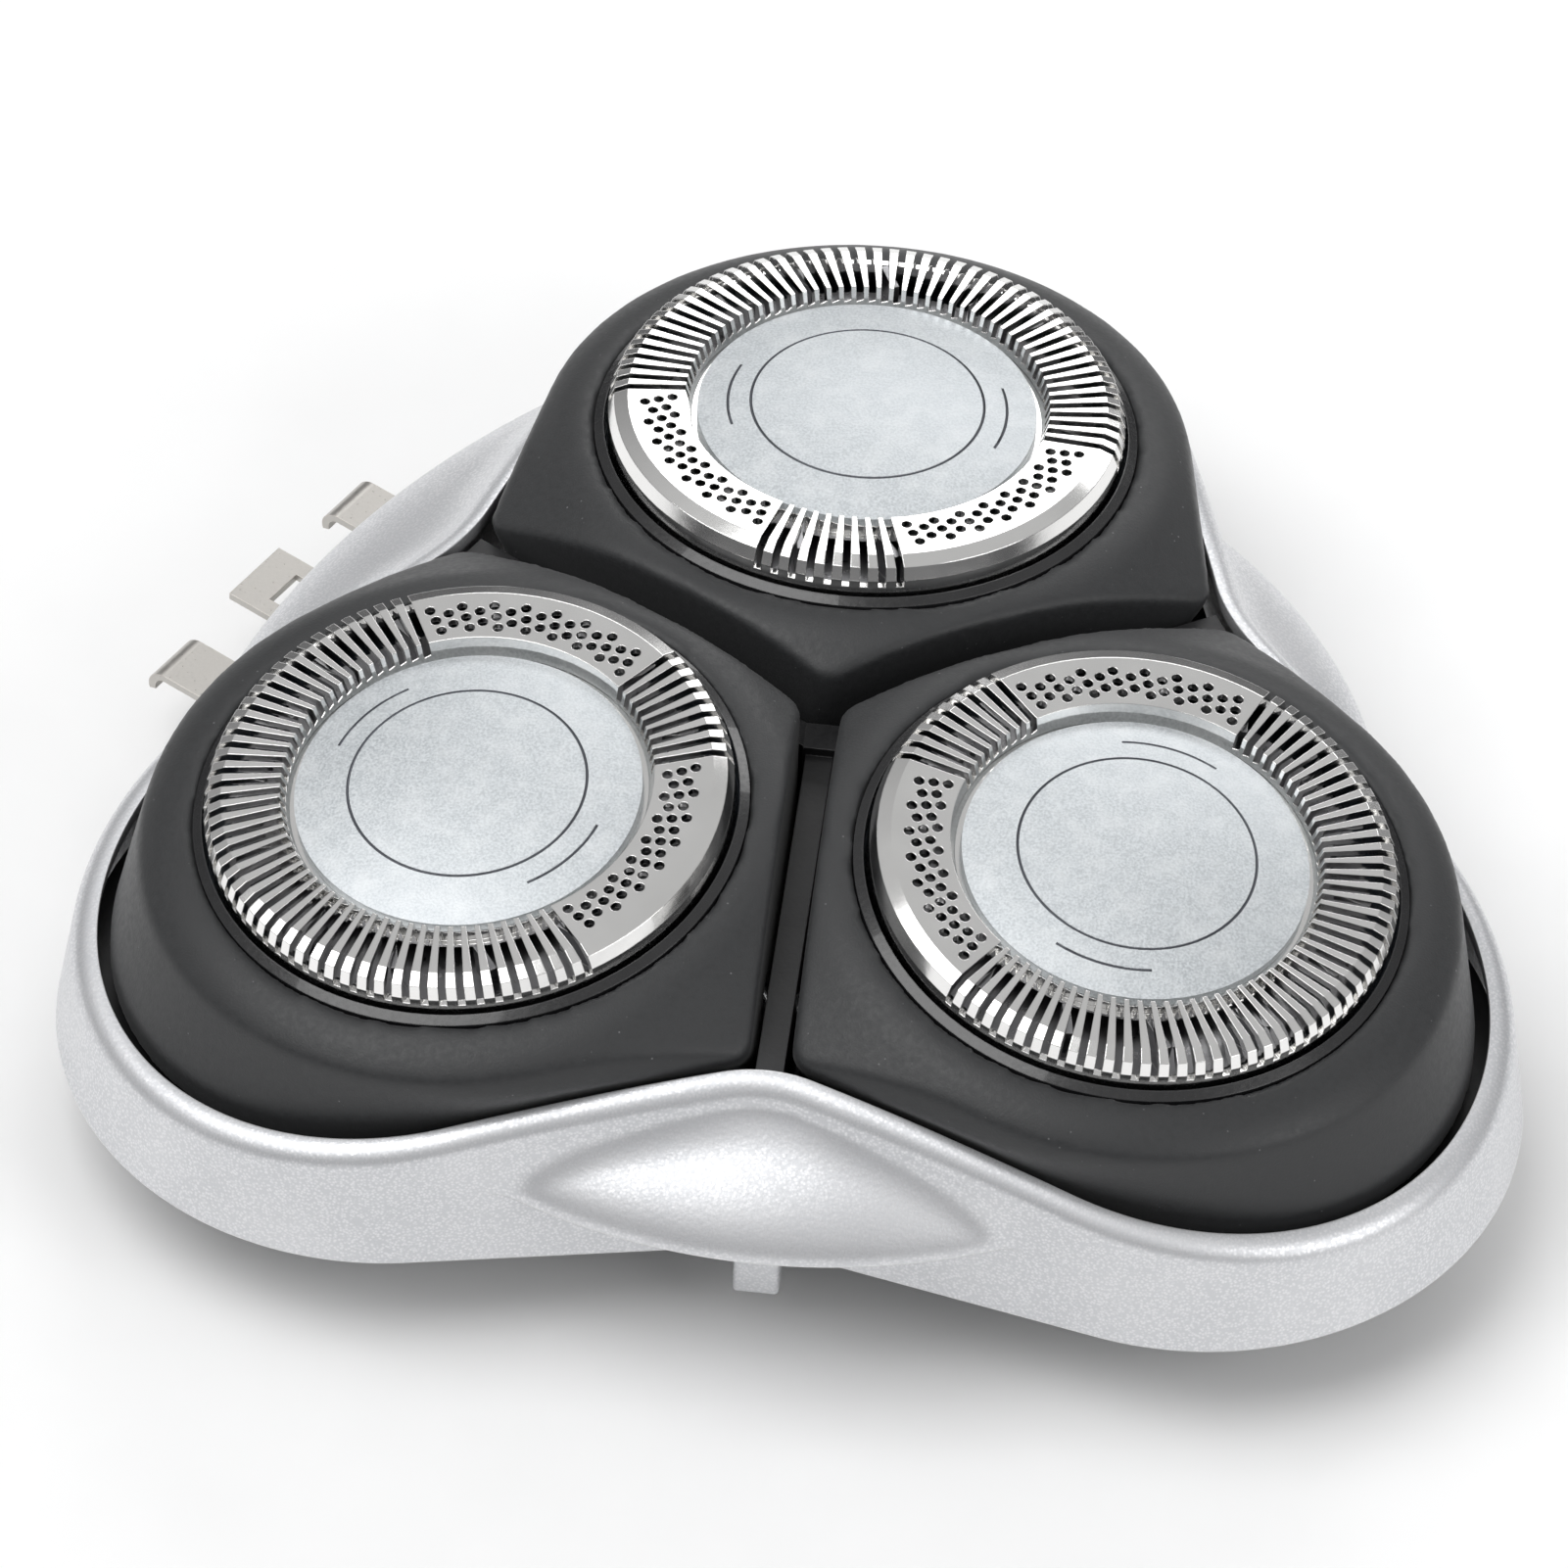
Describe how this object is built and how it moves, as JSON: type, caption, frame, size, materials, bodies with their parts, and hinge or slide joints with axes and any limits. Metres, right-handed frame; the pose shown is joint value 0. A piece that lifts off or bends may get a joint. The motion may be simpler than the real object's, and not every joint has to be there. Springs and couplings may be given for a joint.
{
  "type": "rotary shaver head unit",
  "caption": "Detachable shaving unit of a rotary shaver: slotted round guards over spinning cutters in tilting black pods on a silver trefoil housing with a neck collar.",
  "frame": {"origin": "centre of the mouth of the neck collar on the underside", "axes": "+Z along the drive axis towards the shaving surface, +Y towards one of the heads"},
  "size_m": [0.0698, 0.0657, 0.0215],
  "materials": {
    "silver_paint": "silver metallic paint on plastic",
    "soft_black": "soft-touch matte",
    "gloss_black": "semi-gloss",
    "black_plastic": "moulded satin",
    "grey_plastic": "moulded matte",
    "white_plastic": "natural acetal",
    "blue_plastic": "moulded satin",
    "guard_steel": "polished",
    "cutter_steel": "ground",
    "disc_metal": "fine satin",
    "spring_steel": "satin",
    "zinc_steel": "zinc plated"
  },
  "bodies": {
    "base": {"base_housing": "silver_paint", "carrier_deck": "black_plastic", "pod_carrier": "black_plastic", "bottom_cover": "grey_plastic", "hinge_clip": "spring_steel", "clip_screws": "zinc_steel", "cover_screws": "zinc_steel", "pivot_pins": "zinc_steel", "gear_axles": "zinc_steel", "pod_spring_1": "spring_steel", "pod_spring_2": "spring_steel", "pod_spring_3": "spring_steel"},
    "input": {"drive_coupling": "grey_plastic", "sun_gear": "white_plastic"},
    "gear_1": {"driven_gear_1": "white_plastic", "coupling_spring_1": "spring_steel"},
    "spindle_1": {"spindle_1": "white_plastic"},
    "pod_1": {"pod_cover_1": "soft_black", "pod_frame_1": "gloss_black", "retaining_ring_1": "blue_plastic"},
    "guard_1": {"guard_1": "guard_steel", "trim_disc_1": "disc_metal"},
    "cutter_1": {"cutter_blades_1": "cutter_steel", "cutter_carrier_1": "blue_plastic"},
    "gear_2": {"driven_gear_2": "white_plastic", "coupling_spring_2": "spring_steel"},
    "spindle_2": {"spindle_2": "white_plastic"},
    "pod_2": {"pod_cover_2": "soft_black", "pod_frame_2": "gloss_black", "retaining_ring_2": "blue_plastic"},
    "guard_2": {"guard_2": "guard_steel", "trim_disc_2": "disc_metal"},
    "cutter_2": {"cutter_blades_2": "cutter_steel", "cutter_carrier_2": "blue_plastic"},
    "gear_3": {"driven_gear_3": "white_plastic", "coupling_spring_3": "spring_steel"},
    "spindle_3": {"spindle_3": "white_plastic"},
    "pod_3": {"pod_cover_3": "soft_black", "pod_frame_3": "gloss_black", "retaining_ring_3": "blue_plastic"},
    "guard_3": {"guard_3": "guard_steel", "trim_disc_3": "disc_metal"},
    "cutter_3": {"cutter_blades_3": "cutter_steel", "cutter_carrier_3": "blue_plastic"}
  },
  "joints": [
    {"name": "input_spin", "type": "hinge", "parent": "base", "child": "input", "pos_m": [0, 0, 0.006], "axis": [0, 0, 1], "continuous": true},
    {"name": "gear_spin_1", "type": "hinge", "parent": "base", "child": "gear_1", "pos_m": [0, 0.0174, 0.007], "axis": [0, 0, 1], "continuous": true},
    {"name": "spindle_slide_1", "type": "slide", "parent": "gear_1", "child": "spindle_1", "axis": [0, 0, 1], "range_m": [-0.0008, 0], "stiffness_N_per_m": 60, "deforming": ["coupling_spring_1"]},
    {"name": "pod_tilt_1", "type": "hinge", "parent": "base", "child": "pod_1", "pos_m": [0, 0.008, 0.013], "axis": [-1, 0, 0], "range_deg": [-2, 2], "stiffness_Nm_per_rad": 0.4, "deforming": ["pod_spring_1"]},
    {"name": "guard_press_1", "type": "slide", "parent": "pod_1", "child": "guard_1", "axis": [0, 0.1149, 0.9934], "range_m": [-0.0008, 0], "stiffness_N_per_m": 250},
    {"name": "cutter_spin_1", "type": "hinge", "parent": "guard_1", "child": "cutter_1", "pos_m": [0, 0.01808, 0.02], "axis": [0, 0.1149, 0.9934], "continuous": true},
    {"name": "gear_spin_2", "type": "hinge", "parent": "base", "child": "gear_2", "pos_m": [-0.01507, -0.0087, 0.007], "axis": [0, 0, 1], "continuous": true},
    {"name": "spindle_slide_2", "type": "slide", "parent": "gear_2", "child": "spindle_2", "axis": [0, 0, 1], "range_m": [-0.0008, 0], "stiffness_N_per_m": 60, "deforming": ["coupling_spring_2"]},
    {"name": "pod_tilt_2", "type": "hinge", "parent": "base", "child": "pod_2", "pos_m": [-0.00693, -0.004, 0.013], "axis": [0.5, -0.866, 0], "range_deg": [-2, 2], "stiffness_Nm_per_rad": 0.4, "deforming": ["pod_spring_2"]},
    {"name": "guard_press_2", "type": "slide", "parent": "pod_2", "child": "guard_2", "axis": [-0.0995, -0.0575, 0.9934], "range_m": [-0.0008, 0], "stiffness_N_per_m": 250},
    {"name": "cutter_spin_2", "type": "hinge", "parent": "guard_2", "child": "cutter_2", "pos_m": [-0.01566, -0.00904, 0.02], "axis": [-0.0995, -0.0575, 0.9934], "continuous": true},
    {"name": "gear_spin_3", "type": "hinge", "parent": "base", "child": "gear_3", "pos_m": [0.01507, -0.0087, 0.007], "axis": [0, 0, 1], "continuous": true},
    {"name": "spindle_slide_3", "type": "slide", "parent": "gear_3", "child": "spindle_3", "axis": [0, 0, 1], "range_m": [-0.0008, 0], "stiffness_N_per_m": 60, "deforming": ["coupling_spring_3"]},
    {"name": "pod_tilt_3", "type": "hinge", "parent": "base", "child": "pod_3", "pos_m": [0.00693, -0.004, 0.013], "axis": [0.5, 0.866, 0], "range_deg": [-2, 2], "stiffness_Nm_per_rad": 0.4, "deforming": ["pod_spring_3"]},
    {"name": "guard_press_3", "type": "slide", "parent": "pod_3", "child": "guard_3", "axis": [0.0995, -0.0575, 0.9934], "range_m": [-0.0008, 0], "stiffness_N_per_m": 250},
    {"name": "cutter_spin_3", "type": "hinge", "parent": "guard_3", "child": "cutter_3", "pos_m": [0.01566, -0.00904, 0.02], "axis": [0.0995, -0.0575, 0.9934], "continuous": true}
  ],
  "couplings": [
    {"joint": "gear_spin_1", "follows": "input_spin", "ratio": -1.0714},
    {"joint": "cutter_spin_1", "follows": "input_spin", "ratio": -1.0714},
    {"joint": "spindle_slide_1", "follows": "guard_press_1", "ratio": 1},
    {"joint": "gear_spin_2", "follows": "input_spin", "ratio": -1.0714},
    {"joint": "cutter_spin_2", "follows": "input_spin", "ratio": -1.0714},
    {"joint": "spindle_slide_2", "follows": "guard_press_2", "ratio": 1},
    {"joint": "gear_spin_3", "follows": "input_spin", "ratio": -1.0714},
    {"joint": "cutter_spin_3", "follows": "input_spin", "ratio": -1.0714},
    {"joint": "spindle_slide_3", "follows": "guard_press_3", "ratio": 1}
  ]
}
